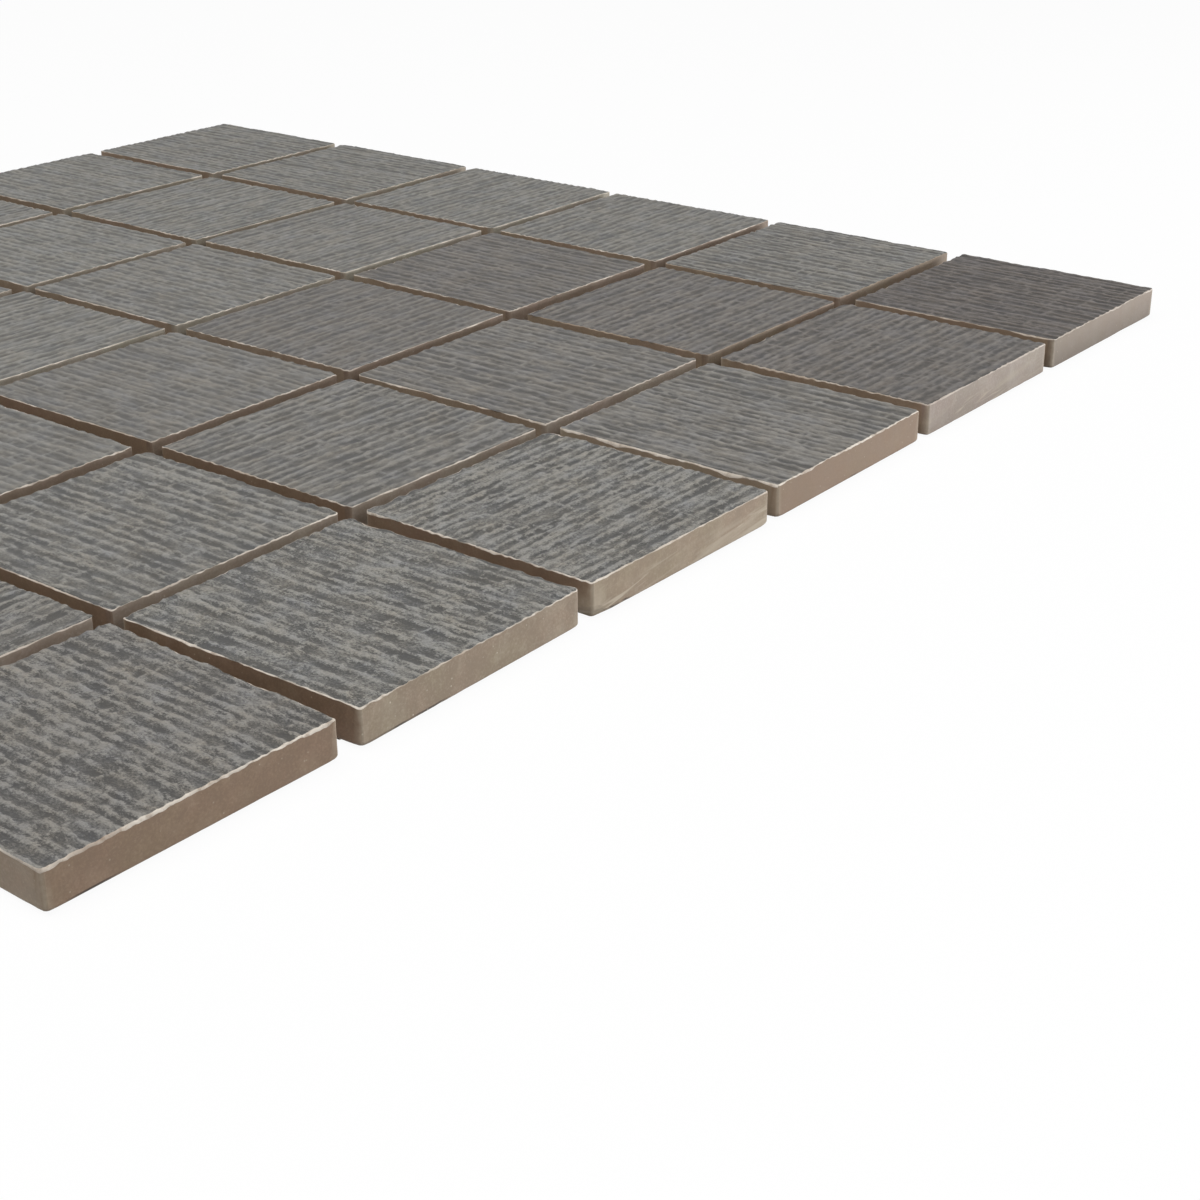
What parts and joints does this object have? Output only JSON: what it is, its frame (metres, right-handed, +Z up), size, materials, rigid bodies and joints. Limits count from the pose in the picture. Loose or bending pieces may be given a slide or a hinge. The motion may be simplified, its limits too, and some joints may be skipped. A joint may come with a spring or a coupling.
{
  "type": "mosaic tile sheet",
  "caption": "Square sheet of square ribbed porcelain mosaic tiles with even open joints, glued face up on a glass-fibre net",
  "frame": {"origin": "middle of the sheet's outline, on the surface that it lies on", "axes": "+Z up out of the glazed faces; +X along the rows of tiles; +Y along the columns, away from row 1"},
  "size_m": [0.2978, 0.298, 0.0064],
  "materials": {
    "ribbed_porcelain": "matt dark grey glaze, mottled and finely ribbed, over a plain taupe body that shows on the sawn sides",
    "glass_net": "off-white resin-coated glass-fibre yarn"
  },
  "bodies": {
    "root": {"net_weft_yarns": "glass_net", "net_warp_yarns": "glass_net", "tile_row1_col1": "ribbed_porcelain", "tile_row1_col2": "ribbed_porcelain", "tile_row1_col3": "ribbed_porcelain", "tile_row1_col4": "ribbed_porcelain", "tile_row1_col5": "ribbed_porcelain", "tile_row1_col6": "ribbed_porcelain", "tile_row2_col1": "ribbed_porcelain", "tile_row2_col2": "ribbed_porcelain", "tile_row2_col3": "ribbed_porcelain", "tile_row2_col4": "ribbed_porcelain", "tile_row2_col5": "ribbed_porcelain", "tile_row2_col6": "ribbed_porcelain", "tile_row3_col1": "ribbed_porcelain", "tile_row3_col2": "ribbed_porcelain", "tile_row3_col3": "ribbed_porcelain", "tile_row3_col4": "ribbed_porcelain", "tile_row3_col5": "ribbed_porcelain", "tile_row3_col6": "ribbed_porcelain", "tile_row4_col1": "ribbed_porcelain", "tile_row4_col2": "ribbed_porcelain", "tile_row4_col3": "ribbed_porcelain", "tile_row4_col4": "ribbed_porcelain", "tile_row4_col5": "ribbed_porcelain", "tile_row4_col6": "ribbed_porcelain", "tile_row5_col1": "ribbed_porcelain", "tile_row5_col2": "ribbed_porcelain", "tile_row5_col3": "ribbed_porcelain", "tile_row5_col4": "ribbed_porcelain", "tile_row5_col5": "ribbed_porcelain", "tile_row5_col6": "ribbed_porcelain", "tile_row6_col1": "ribbed_porcelain", "tile_row6_col2": "ribbed_porcelain", "tile_row6_col3": "ribbed_porcelain", "tile_row6_col4": "ribbed_porcelain", "tile_row6_col5": "ribbed_porcelain", "tile_row6_col6": "ribbed_porcelain"}
  },
  "joints": []
}
